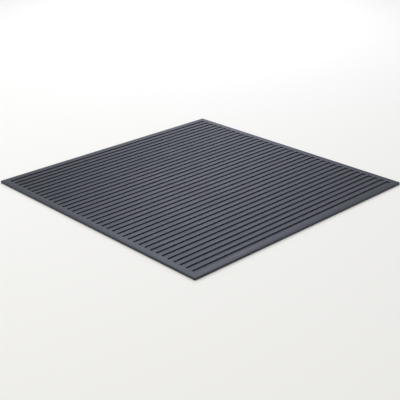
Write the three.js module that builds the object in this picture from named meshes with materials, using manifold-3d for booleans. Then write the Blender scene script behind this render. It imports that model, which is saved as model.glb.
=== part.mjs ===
// Electrical insulating mat: one square sheet of moulded rubber with parallel channels in its top face.
// Millimetres, +Z up. The origin is the centre of the underside, which rests on the floor.
// The channels run along Y and end inside a plain border.
import * as THREE from "three";
import { mergeVertices } from "three/addons/utils/BufferGeometryUtils.js";
import Module from "manifold-3d";

// Sheet.
const MAT_WIDTH = 750;
const MAT_LENGTH = 750;
const MAT_THICKNESS = 6;
const CORNER_RADIUS = 3;
const TOP_RIM_RADIUS = 0.6;

// Channels in the top face.
const CHANNEL_PITCH = 19.5;
const CHANNEL_WIDTH = 11.5;
const CHANNEL_DEPTH = 2.5;
const CHANNEL_DRAFT = 0.3;
const CHANNEL_LIP_RADIUS = 0.3;
const CHANNEL_ROOT_RADIUS = 0.3;
const BORDER_WIDTH = 18.25;

// Facets of the rounded edges.
const CORNER_STEPS = 6;
const RIM_STEPS = 3;
const EDGE_STEPS = 3;

// How far a cutting shape stands clear of the face that it cuts.
const CUT_CLEARANCE = 1;

// Sizes that follow from the ones above.
const FIELD_WIDTH = MAT_WIDTH - 2 * BORDER_WIDTH;
const FIELD_LENGTH = MAT_LENGTH - 2 * BORDER_WIDTH;
const CHANNEL_COUNT = Math.round((FIELD_WIDTH - CHANNEL_WIDTH) / CHANNEL_PITCH) + 1;
const FIRST_CHANNEL_X = -((CHANNEL_COUNT - 1) * CHANNEL_PITCH) / 2;

const wasm = await Module();
wasm.setup();

/** Turns a closed three.js geometry into a solid. */
function toSolid(geometry) {
  const bare = geometry.index ? geometry.toNonIndexed() : geometry.clone();
  bare.deleteAttribute("normal");
  bare.deleteAttribute("uv");
  const merged = mergeVertices(bare, 1e-5);
  const mesh = new wasm.Mesh({
    numProp: 3,
    vertProperties: new Float32Array(merged.attributes.position.array),
    triVerts: new Uint32Array(merged.index.array),
  });
  return new wasm.Manifold(mesh);
}

/** Turns a solid back into a three.js geometry with flat faces. */
function toGeometry(solid) {
  const mesh = solid.getMesh();
  const indexed = new THREE.BufferGeometry();
  indexed.setAttribute("position", new THREE.BufferAttribute(new Float32Array(mesh.vertProperties), 3));
  indexed.setIndex(new THREE.BufferAttribute(new Uint32Array(mesh.triVerts), 1));
  const geometry = indexed.toNonIndexed();
  geometry.computeVertexNormals();
  return geometry;
}

/** Outline of a rectangle about the origin, with round corners. */
function roundedRectangle(width, length, radius) {
  const x = width / 2;
  const y = length / 2;
  const shape = new THREE.Shape();
  shape.moveTo(x - radius, -y);
  shape.absarc(x - radius, -y + radius, radius, -Math.PI / 2, 0, false);
  shape.absarc(x - radius, y - radius, radius, 0, Math.PI / 2, false);
  shape.absarc(-x + radius, y - radius, radius, Math.PI / 2, Math.PI, false);
  shape.absarc(-x + radius, -y + radius, radius, Math.PI, 1.5 * Math.PI, false);
  return shape;
}

/** The plain sheet: a flat underside, upright sides and a small round along the top rim. */
function sheetSolid() {
  const inner = roundedRectangle(
    MAT_WIDTH - 2 * TOP_RIM_RADIUS,
    MAT_LENGTH - 2 * TOP_RIM_RADIUS,
    CORNER_RADIUS - TOP_RIM_RADIUS,
  );
  const raised = new THREE.ExtrudeGeometry(inner, {
    depth: MAT_THICKNESS - TOP_RIM_RADIUS,
    bevelEnabled: true,
    bevelThickness: TOP_RIM_RADIUS,
    bevelSize: TOP_RIM_RADIUS,
    bevelSegments: RIM_STEPS,
    curveSegments: CORNER_STEPS,
  });
  const trim = new THREE.BoxGeometry(MAT_WIDTH * 2, MAT_LENGTH * 2, MAT_THICKNESS * 2);
  trim.translate(0, 0, MAT_THICKNESS);
  return toSolid(raised).intersect(toSolid(trim));
}

/** Points of the channel's section on its right side, from the flat floor up to past the top face. */
function channelSide() {
  const half = CHANNEL_WIDTH / 2;
  const slope = Math.atan2(CHANNEL_DRAFT, CHANNEL_DEPTH);
  const sweep = Math.PI / 2 - slope;
  const points = [];
  const rootX = half - CHANNEL_DRAFT - CHANNEL_ROOT_RADIUS * Math.tan(sweep / 2);
  const rootY = -CHANNEL_DEPTH + CHANNEL_ROOT_RADIUS;
  for (let step = 0; step <= EDGE_STEPS; step += 1) {
    const angle = -Math.PI / 2 + (sweep * step) / EDGE_STEPS;
    points.push(new THREE.Vector2(
      rootX + CHANNEL_ROOT_RADIUS * Math.cos(angle),
      rootY + CHANNEL_ROOT_RADIUS * Math.sin(angle),
    ));
  }
  const lipX = half + CHANNEL_LIP_RADIUS * Math.tan(sweep / 2);
  const lipY = -CHANNEL_LIP_RADIUS;
  for (let step = 0; step <= EDGE_STEPS; step += 1) {
    const angle = Math.PI - slope - (sweep * step) / EDGE_STEPS;
    points.push(new THREE.Vector2(
      lipX + CHANNEL_LIP_RADIUS * Math.cos(angle),
      lipY + CHANNEL_LIP_RADIUS * Math.sin(angle),
    ));
  }
  points.push(new THREE.Vector2(lipX, CUT_CLEARANCE));
  return points;
}

/** A prism of the channel's section, cut to the given length and lying along Y about the origin. */
function channelPrism(side, length) {
  const mirrored = side.map((point) => new THREE.Vector2(-point.x, point.y)).reverse();
  const prism = new THREE.ExtrudeGeometry(new THREE.Shape([...side, ...mirrored]), {
    depth: length,
    bevelEnabled: false,
  });
  prism.translate(0, 0, -length / 2);
  prism.rotateX(Math.PI / 2);
  return prism;
}

/** The cutting shape of one channel: a long prism, ended by a short one turned across it. */
function channelCutter() {
  const side = channelSide();
  const reach = side[side.length - 1].x - CHANNEL_WIDTH / 2;
  const along = toSolid(channelPrism(side, FIELD_LENGTH + 2 * reach));
  const shift = (FIELD_LENGTH - CHANNEL_WIDTH) / 2;
  const stretched = side.map((point) => new THREE.Vector2(point.x + shift, point.y));
  const across = channelPrism(stretched, CHANNEL_WIDTH + 2 * reach);
  across.rotateZ(Math.PI / 2);
  return along.intersect(toSolid(across));
}

/** The mat: the sheet less one cutter for each channel. */
function matSolid() {
  const cutter = channelCutter();
  let solid = sheetSolid();
  for (let index = 0; index < CHANNEL_COUNT; index += 1) {
    const x = FIRST_CHANNEL_X + index * CHANNEL_PITCH;
    solid = solid.subtract(cutter.translate([x, 0, MAT_THICKNESS]));
  }
  return solid;
}

const rubber = new THREE.MeshStandardMaterial({ color: 0x46484e, roughness: 0.6, metalness: 0 });

const mat = new THREE.Mesh(toGeometry(matSolid()), rubber);
mat.name = "rubber_mat";

const part = new THREE.Group();
part.name = "electrical_insulating_mat";
part.add(mat);

export default part;
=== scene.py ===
"""Electrical insulating mat: one moulded rubber sheet, dressed, on a plain studio floor."""
import logging
import math
from dataclasses import dataclass, field
from enum import Enum
from typing import Callable

import bmesh
import bpy
from mathutils import Matrix, Vector


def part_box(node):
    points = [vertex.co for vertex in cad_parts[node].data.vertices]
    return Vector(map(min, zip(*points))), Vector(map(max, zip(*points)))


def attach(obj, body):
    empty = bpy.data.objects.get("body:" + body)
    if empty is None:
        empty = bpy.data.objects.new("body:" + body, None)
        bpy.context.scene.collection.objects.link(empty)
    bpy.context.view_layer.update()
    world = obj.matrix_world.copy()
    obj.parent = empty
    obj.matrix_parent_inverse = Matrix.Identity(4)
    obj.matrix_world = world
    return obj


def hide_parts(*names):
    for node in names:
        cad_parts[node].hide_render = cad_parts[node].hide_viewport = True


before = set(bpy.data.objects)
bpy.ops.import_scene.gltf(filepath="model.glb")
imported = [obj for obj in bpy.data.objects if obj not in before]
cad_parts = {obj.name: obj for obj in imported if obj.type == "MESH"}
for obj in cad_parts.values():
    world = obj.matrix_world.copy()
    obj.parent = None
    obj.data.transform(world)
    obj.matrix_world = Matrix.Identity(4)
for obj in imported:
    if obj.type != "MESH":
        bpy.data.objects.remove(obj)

logging.basicConfig(level=logging.INFO, format="%(name)s: %(message)s")
LOG = logging.getLogger("insulating_mat")

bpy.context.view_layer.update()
MM = 0.001
FRAME_PIXELS = 400
COOL_WHITE = "#eff1ff"


def linear(hex_colour: str) -> tuple[float, float, float, float]:
    """Turns an sRGB hex colour into linear values with full alpha.

    Args:
        hex_colour: Six hex digits, with or without a leading hash.

    Returns:
        Linear red, green, blue and alpha.
    """
    digits = hex_colour.lstrip("#")
    channels = []
    for start in (0, 2, 4):
        value = int(digits[start:start + 2], 16) / 255
        channels.append(value / 12.92 if value <= 0.04045 else ((value + 0.055) / 1.055) ** 2.4)
    return (channels[0], channels[1], channels[2], 1.0)


def add_node(tree: bpy.types.NodeTree, kind: str, settings: dict | None = None,
             inputs: dict | None = None) -> bpy.types.Node:
    """Adds one shader node with its settings and links.

    Args:
        tree: The node tree that gets the node.
        kind: The node's type name.
        settings: Attribute names and values of the node.
        inputs: Socket names or numbers, each with a value or with the output socket to link.

    Returns:
        The new node.
    """
    node = tree.nodes.new(kind)
    for name, value in (settings or {}).items():
        setattr(node, name, value)
    for name, value in (inputs or {}).items():
        if isinstance(value, bpy.types.NodeSocket):
            tree.links.new(value, node.inputs[name])
        else:
            node.inputs[name].default_value = value
    return node


class Spread(Enum):
    """How a value is carried from one range into another."""

    LINEAR = "LINEAR"
    SMOOTH = "SMOOTHSTEP"


class Sum(Enum):
    """The sums that the masks are worked out with."""

    PRODUCT = "MULTIPLY"
    SIZE = "ABSOLUTE"
    LARGER = "MAXIMUM"
    BELOW = "LESS_THAN"


@dataclass(frozen=True)
class MouldedRubber:
    """Carbon-black rubber, pressed and cured in a steel mould.

    The polished mould leaves an even satin skin, which mirrors the light behind it at a low angle
    and stays almost black where it faces away. Wax that works out of the rubber lies on it as a
    faint cloudy bloom, and dust settles on the floors of the channels. The channel walls are
    painted near black: painted shade in the recesses, which draws the dark lines.
    """

    name: str = "rubber_compression_moulded"
    body: str = "#31343b"
    bloom: str = "#3b3e46"
    dust: str = "#3f434c"
    # Near-black painted shade on the channel walls.
    painted_wall_shade: str = "#0c0d10"
    ior: float = 1.52
    specular_level: float = 0.28
    specular_tint: str = "#e7ebff"
    roughness: tuple[float, float] = (0.48, 0.56)
    cloud_size: float = 90 * MM
    patch_size: float = 22 * MM
    patch_share: float = 0.45
    bloom_range: tuple[float, float] = (0.36, 0.64)
    gloss_range: tuple[float, float] = (0.35, 0.65)
    # The skin's real grain is about 0.2 mm wide. It is drawn coarser, so that it still breaks up
    # the sheen in a picture of the whole mat.
    grain_size: float = 1.4 * MM
    grain_height: float = 0.03 * MM
    top_height: float = 6 * MM
    channel_depth: float = 2.5 * MM
    field_end: float = 357 * MM
    dust_range: tuple[float, float] = (0.45, 0.75)
    dust_share: float = 0.5
    dust_heights: tuple[float, float] = (0.2 * MM, 0.9 * MM)
    # Limits of the painted wall shade, up from the channel floor and down from the top.
    wall_from_floor: tuple[float, float] = (0.05 * MM, 0.25 * MM)
    wall_from_top: tuple[float, float] = (0.4 * MM, 0.1 * MM)

    def build(self) -> bpy.types.Material:
        """Makes the material from procedural nodes.

        Returns:
            The rubber, ready for the mat.
        """
        material = bpy.data.materials.new(self.name)
        material.use_nodes = True
        tree = material.node_tree
        tree.nodes.clear()
        place = add_node(tree, "ShaderNodeTexCoord").outputs["Object"]
        axes = add_node(tree, "ShaderNodeSeparateXYZ", None, {0: place}).outputs
        cloud = self._noise(tree, place, self.cloud_size, 3.0, 0.55)
        patch = self._noise(tree, place, self.patch_size, 4.0, 0.6)
        grain = self._noise(tree, place, self.grain_size, 2.0, 0.5)
        mottle = add_node(tree, "ShaderNodeMix", {"data_type": "FLOAT"},
                          {0: self.patch_share, 2: cloud, 3: patch}).outputs[0]
        haze = self._ranged(tree, mottle, self.bloom_range, (0.0, 1.0), Spread.SMOOTH)
        skin = self._blend(tree, haze, linear(self.body), linear(self.bloom))
        worn = self._blend(tree, self._dust_mask(tree, axes, patch), skin, linear(self.dust))
        # Painted shade: the channel walls are turned near black over the dusty skin.
        colour = self._blend(tree, self._painted_wall_shade_mask(tree, axes), worn, linear(self.painted_wall_shade))
        gloss = self._ranged(tree, mottle, self.gloss_range, self.roughness, Spread.LINEAR)
        bump = add_node(tree, "ShaderNodeBump", None,
                        {"Strength": 1.0, "Distance": self.grain_height, "Height": grain})
        surface = add_node(tree, "ShaderNodeBsdfPrincipled", None, {
            "Base Color": colour, "Roughness": gloss, "IOR": self.ior, "Metallic": 0.0,
            "Specular IOR Level": self.specular_level,
            "Specular Tint": linear(self.specular_tint),
            "Normal": bump.outputs["Normal"],
        })
        add_node(tree, "ShaderNodeOutputMaterial", None, {"Surface": surface.outputs["BSDF"]})
        return material

    def _dust_mask(self, tree: bpy.types.NodeTree, axes: bpy.types.NodeOutputs,
                   patch: bpy.types.NodeSocket) -> bpy.types.NodeSocket:
        """Marks the patches of dust on the floors of the channels.

        Args:
            tree: The material's nodes.
            axes: The place on the mat, as X, Y and Z.
            patch: The noise that the dust gathers by.

        Returns:
            How much dust there is, from 0 to the largest share.
        """
        floor_level = self.top_height - self.channel_depth
        heights = (floor_level + self.dust_heights[0], floor_level + self.dust_heights[1])
        low = self._ranged(tree, axes["Z"], heights, (1.0, 0.0), Spread.SMOOTH)
        gathered = self._ranged(tree, patch, self.dust_range, (0.0, self.dust_share), Spread.SMOOTH)
        return self._sum(tree, Sum.PRODUCT, low, gathered)

    def _painted_wall_shade_mask(self, tree: bpy.types.NodeTree,
                   axes: bpy.types.NodeOutputs) -> bpy.types.NodeSocket:
        """Marks where the painted shade goes: the channel walls below the top, above the floor and
        inside the border.

        Args:
            tree: The material's nodes.
            axes: The place on the mat, as X, Y and Z.

        Returns:
            1 on the walls and 0 elsewhere, with soft limits up and down.
        """
        floor_level = self.top_height - self.channel_depth
        top = (self.top_height - self.wall_from_top[0], self.top_height - self.wall_from_top[1])
        foot = (floor_level + self.wall_from_floor[0], floor_level + self.wall_from_floor[1])
        under = self._ranged(tree, axes["Z"], top, (1.0, 0.0), Spread.SMOOTH)
        over = self._ranged(tree, axes["Z"], foot, (0.0, 1.0), Spread.SMOOTH)
        across = self._sum(tree, Sum.SIZE, axes["X"])
        along = self._sum(tree, Sum.SIZE, axes["Y"])
        reach = self._sum(tree, Sum.LARGER, across, along)
        inside = self._sum(tree, Sum.BELOW, reach, self.field_end)
        return self._sum(tree, Sum.PRODUCT, self._sum(tree, Sum.PRODUCT, under, over), inside)

    def _sum(self, tree: bpy.types.NodeTree, kind: Sum, *terms: object) -> bpy.types.NodeSocket:
        """Works one sum out of sockets and numbers."""
        return add_node(tree, "ShaderNodeMath", {"operation": kind.value},
                        dict(enumerate(terms))).outputs[0]

    def _blend(self, tree: bpy.types.NodeTree, share: bpy.types.NodeSocket, under: object,
               over: object) -> bpy.types.NodeSocket:
        """Lays one colour over another by a mask."""
        return add_node(tree, "ShaderNodeMix", {"data_type": "RGBA"},
                        {0: share, 6: under, 7: over}).outputs[2]

    def _noise(self, tree: bpy.types.NodeTree, place: bpy.types.NodeSocket, size: float,
               detail: float, rough: float) -> bpy.types.NodeSocket:
        """Adds a noise whose blotches are about as wide as the size given."""
        return add_node(tree, "ShaderNodeTexNoise", {"noise_dimensions": "3D"}, {
            "Vector": place, "Scale": 1 / size, "Detail": detail, "Roughness": rough,
        }).outputs[0]

    def _ranged(self, tree: bpy.types.NodeTree, value: bpy.types.NodeSocket,
                source: tuple[float, float], target: tuple[float, float],
                spread: Spread) -> bpy.types.NodeSocket:
        """Carries a value from one pair of limits to another."""
        return add_node(tree, "ShaderNodeMapRange", {"interpolation_type": spread.value}, {
            "Value": value, "From Min": source[0], "From Max": source[1],
            "To Min": target[0], "To Max": target[1],
        }).outputs[0]


@dataclass(frozen=True)
class PaintedBoard:
    """Matt white paint, rolled: an even pale ground with no shine."""

    name: str = "paint_matt_rolled"
    colour: str = "#f8f7f2"
    roughness: float = 0.9
    specular_level: float = 0.2

    def build(self) -> bpy.types.Material:
        """Makes the material.

        Returns:
            The paint, ready for the floor.
        """
        material = bpy.data.materials.new(self.name)
        material.use_nodes = True
        tree = material.node_tree
        tree.nodes.clear()
        surface = add_node(tree, "ShaderNodeBsdfPrincipled", None, {
            "Base Color": linear(self.colour), "Roughness": self.roughness,
            "Specular IOR Level": self.specular_level,
        })
        add_node(tree, "ShaderNodeOutputMaterial", None, {"Surface": surface.outputs["BSDF"]})
        return material


def select_where(obj: bpy.types.Object, mode: str, test: Callable) -> int:
    """Selects the faces or edges of the edited mesh that pass a test, and nothing else.

    Args:
        obj: The object in edit mode.
        mode: FACE or EDGE.
        test: A function of a bmesh face or edge that says whether it is wanted.

    Returns:
        How many were selected.
    """
    bpy.ops.mesh.select_mode(type=mode)
    bpy.ops.mesh.select_all(action="DESELECT")
    work = bmesh.from_edit_mesh(obj.data)
    found = work.faces if mode == "FACE" else work.edges
    wanted = [part for part in found if test(part)]
    for part in wanted:
        part.select_set(True)
    work.select_flush_mode()
    bmesh.update_edit_mesh(obj.data)
    return len(wanted)


def bevel_where(obj: bpy.types.Object, test: Callable, radius: float, steps: int) -> None:
    """Rounds the edges of the edited mesh that pass a test.

    Args:
        obj: The object in edit mode.
        test: A function of a bmesh edge that says whether it is wanted.
        radius: The width that the rounding takes off each side.
        steps: The faces across the rounding.
    """
    select_where(obj, "EDGE", test)
    bpy.ops.mesh.bevel(offset=radius, segments=steps, affect="EDGES")


def ends(edge: bmesh.types.BMEdge) -> tuple[float, float]:
    """Gives the heights of an edge's lower and upper end."""
    low, high = sorted(corner.co.z for corner in edge.verts)
    return low, high


def is_crease(edge: bmesh.types.BMEdge) -> bool:
    """Tells whether a face beside an edge stands up from the level."""
    return any(face.normal.z < 0.9 for face in edge.link_faces)


@dataclass
class RubberMat:
    """The moulded sheet: plain border, parallel channels with rounded lips and roots."""

    node: str = "rubber_mat"
    body: str = "root"
    slot: str = "rubber"
    corner_radius: float = 3.0 * MM
    corner_steps: int = 8
    rim_radius: float = 0.6 * MM
    rim_steps: int = 4
    foot_radius: float = 0.25 * MM
    foot_steps: int = 2
    pitch: float = 19.5 * MM
    channel_width: float = 11.5 * MM
    channel_depth: float = 2.5 * MM
    draft: float = 0.3 * MM
    end_corner_radius: float = 1.2 * MM
    end_corner_steps: int = 4
    lip_radius: float = 0.35 * MM
    root_radius: float = 0.35 * MM
    edge_steps: int = 3
    border: float = 18.25 * MM
    tolerance: float = 0.02 * MM
    smooth_angle: float = 35.0
    finish: MouldedRubber = field(default_factory=MouldedRubber)

    def __post_init__(self) -> None:
        """Reads the overall size from the CAD node."""
        low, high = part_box(self.node)
        self.width = high.x - low.x
        self.length = high.y - low.y
        self.thickness = high.z - low.z
        self.floor = self.thickness - self.channel_depth
        span = self.width - 2 * self.border - self.channel_width
        self.count = round(span / self.pitch) + 1
        self.field_end = self.length / 2 - self.border

    def build(self) -> bpy.types.Object:
        """Models the sheet, dresses it and ties it to the frame.

        Returns:
            The finished mat.
        """
        mat = self._sheet()
        self._cut_channels(mat)
        self._round_channels(mat)
        self._round_sheet(mat)
        bpy.ops.object.mode_set(mode="OBJECT")
        bpy.ops.object.shade_smooth_by_angle(angle=math.radians(self.smooth_angle))
        mat.data.materials.clear()
        mat.data.materials.append(self.finish.build())
        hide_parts(self.node)
        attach(mat, self.body)
        return mat

    def channel_centres(self) -> list[float]:
        """Gives the place across the sheet of each channel's middle."""
        first = -(self.count - 1) * self.pitch / 2
        return [first + index * self.pitch for index in range(self.count)]

    def _sheet(self) -> bpy.types.Object:
        """Adds the blank sheet with round corners and leaves it in edit mode.

        Returns:
            The blank sheet.
        """
        bpy.ops.object.select_all(action="DESELECT")
        bpy.ops.mesh.primitive_cube_add(size=1, location=(0, 0, self.thickness / 2),
                                        scale=(self.width, self.length, self.thickness))
        bpy.ops.object.transform_apply(location=True, rotation=True, scale=True)
        mat = bpy.context.object
        mat.name = "moulded_mat"
        bpy.ops.object.mode_set(mode="EDIT")
        bevel_where(mat, lambda edge: ends(edge)[1] - ends(edge)[0] > self.thickness / 2,
                    self.corner_radius, self.corner_steps)
        return mat

    def _is_top(self, face: bmesh.types.BMFace) -> bool:
        """Tells whether a face lies in the top plane."""
        level = face.calc_center_median().z > self.thickness - self.tolerance
        return face.normal.z > 0.99 and level

    def _in_middle(self, face: bmesh.types.BMFace) -> bool:
        """Tells whether a top face lies between the two end borders."""
        return self._is_top(face) and abs(face.calc_center_median().y) < self.field_end / 2

    def _over_channel(self, face: bmesh.types.BMFace) -> bool:
        """Tells whether a top face is the mouth of a channel."""
        middle = face.calc_center_median().x
        near = min(abs(middle - centre) for centre in self.channel_centres())
        return self._in_middle(face) and near < self.channel_width / 5

    def _cut_channels(self, mat: bpy.types.Object) -> None:
        """Scores the channel outlines into the top face and sinks them.

        Args:
            mat: The blank sheet, in edit mode.
        """
        for side in (-1, 1):
            select_where(mat, "FACE", self._is_top)
            bpy.ops.mesh.bisect(plane_co=(0, side * self.field_end, self.thickness),
                                plane_no=(0, 1, 0))
        for centre in self.channel_centres():
            for side in (-1, 1):
                select_where(mat, "FACE", self._in_middle)
                wall = centre + side * self.channel_width / 2
                bpy.ops.mesh.bisect(plane_co=(wall, 0, self.thickness), plane_no=(1, 0, 0))
        count = select_where(mat, "FACE", self._over_channel)
        LOG.info("%d channels sunk", count)
        bpy.ops.mesh.inset(thickness=self.draft, depth=-self.channel_depth, use_individual=True)

    def _in_field(self, edge: bmesh.types.BMEdge) -> bool:
        """Tells whether an edge belongs to the channels, and not to the sheet's outline."""
        inside = self.width / 2 - self.border / 2
        return all(max(abs(end.co.x), abs(end.co.y)) < inside for end in edge.verts)

    def _at_top(self, edge: bmesh.types.BMEdge) -> bool:
        """Tells whether an edge bounds the top plane."""
        return ends(edge)[0] > self.thickness - self.tolerance and is_crease(edge)

    def _is_channel_corner(self, edge: bmesh.types.BMEdge) -> bool:
        """Tells whether an edge climbs from a channel's floor to the top."""
        low, high = ends(edge)
        climbs = low < self.floor + self.tolerance and high > self.thickness - self.tolerance
        return climbs and self._in_field(edge)

    def _round_channels(self, mat: bpy.types.Object) -> None:
        """Rounds the channels' corners, then their roots and then their lips.

        Args:
            mat: The sheet with its channels, in edit mode.
        """
        bevel_where(mat, self._is_channel_corner, self.end_corner_radius, self.end_corner_steps)
        bevel_where(mat, lambda edge: self._in_field(edge)
                    and ends(edge)[1] < self.floor + self.tolerance,
                    self.root_radius, self.edge_steps)
        bevel_where(mat, lambda edge: self._in_field(edge) and self._at_top(edge),
                    self.lip_radius, self.edge_steps)

    def _round_sheet(self, mat: bpy.types.Object) -> None:
        """Rounds the sheet's upper rim and eases its foot.

        Args:
            mat: The sheet with its channels, in edit mode.
        """
        bevel_where(mat, lambda edge: not self._in_field(edge) and self._at_top(edge),
                    self.rim_radius, self.rim_steps)
        bevel_where(mat, lambda edge: ends(edge)[1] < self.tolerance,
                    self.foot_radius, self.foot_steps)


@dataclass(frozen=True)
class SoftBox:
    """A rectangular studio light, placed by bearing and height around the mat."""

    name: str
    bearing: float
    reach: float
    height: float
    width: float
    depth: float
    power: float
    colour: str = "#ffffff"

    def build(self) -> None:
        """Hangs the light, turned to the middle of the mat."""
        turn = math.radians(self.bearing)
        place = Vector((math.sin(turn) * self.reach, -math.cos(turn) * self.reach, self.height))
        light = bpy.data.lights.new(self.name, "AREA")
        light.shape = "RECTANGLE"
        light.size = self.width
        light.size_y = self.depth
        light.energy = self.power
        light.color = linear(self.colour)[:3]
        lamp = bpy.data.objects.new(self.name, light)
        bpy.context.scene.collection.objects.link(lamp)
        lamp.location = place
        lamp.rotation_euler = (-place).to_track_quat("-Z", "Y").to_euler()


@dataclass
class Studio:
    """The pale floor, the soft lights and the camera.

    The camera's angle, distance and focal length are solved from the sheet's four corners. The
    tall box behind the mat makes the sheen that runs from the far corner to the near one.
    """

    floor_size: float = 40.0
    azimuth: float = 46.08
    elevation: float = 23.69
    distance: float = 2.218
    target: tuple[float, float, float] = (0.0796, -0.0751, 0.0007)
    roll: float = -0.19
    focal_pixels: float = 873.4
    sensor: float = 36.0
    clip_end: float = 200.0
    world_strength: float = 0.55
    boxes: tuple[SoftBox, ...] = (
        SoftBox("back_column_box", 226.0, 2.4, 2.1, 0.6, 2.2, 37.0, COOL_WHITE),
        SoftBox("back_wide_box", 226.0, 3.2, 1.2, 3.6, 1.0, 4.0, COOL_WHITE),
        SoftBox("left_box", 316.0, 2.4, 1.6, 1.6, 1.4, 15.0),
        SoftBox("front_top_box", 46.0, 1.4, 2.6, 1.6, 1.6, 13.0),
    )

    def build(self) -> None:
        """Sets up the floor, the lights and the camera."""
        self._floor()
        self._world()
        for box in self.boxes:
            box.build()
        self._camera()
        bpy.context.scene.view_settings.view_transform = "Standard"

    def _floor(self) -> None:
        """Lays the floor."""
        bpy.ops.object.select_all(action="DESELECT")
        bpy.ops.mesh.primitive_plane_add(size=self.floor_size, location=(0, 0, 0))
        floor = bpy.context.object
        floor.name = "studio_floor"
        floor.data.materials.append(PaintedBoard().build())

    def _world(self) -> None:
        """Fills the room with an even soft light."""
        world = bpy.data.worlds.new("studio_light")
        world.use_nodes = True
        tree = world.node_tree
        tree.nodes.clear()
        glow = add_node(tree, "ShaderNodeBackground", None,
                        {"Color": linear("#ffffff"), "Strength": self.world_strength})
        add_node(tree, "ShaderNodeOutputWorld", None, {"Surface": glow.outputs[0]})
        bpy.context.scene.world = world

    def _camera(self) -> None:
        """Places the camera at the viewing angle of the picture."""
        azimuth = math.radians(self.azimuth)
        elevation = math.radians(self.elevation)
        back = Vector((math.sin(azimuth) * math.cos(elevation),
                       -math.cos(azimuth) * math.cos(elevation), math.sin(elevation)))
        data = bpy.data.cameras.new("camera")
        data.sensor_width = self.sensor
        data.lens = self.focal_pixels / FRAME_PIXELS * self.sensor
        data.clip_end = self.clip_end
        camera = bpy.data.objects.new("camera", data)
        bpy.context.scene.collection.objects.link(camera)
        turn = back.to_track_quat("Z", "Y").to_matrix().to_4x4()
        camera.matrix_world = (Matrix.Translation(Vector(self.target) + back * self.distance)
                               @ turn @ Matrix.Rotation(math.radians(self.roll), 4, "Z"))
        bpy.context.scene.camera = camera


def main() -> None:
    """Builds the mat and then the studio around it."""
    mat = RubberMat().build()
    LOG.info("%s: %d faces", mat.name, len(mat.data.polygons))
    Studio().build()
    LOG.info("studio: floor, %d soft boxes and camera", len(Studio.boxes))


if __name__ == "__main__":
    main()
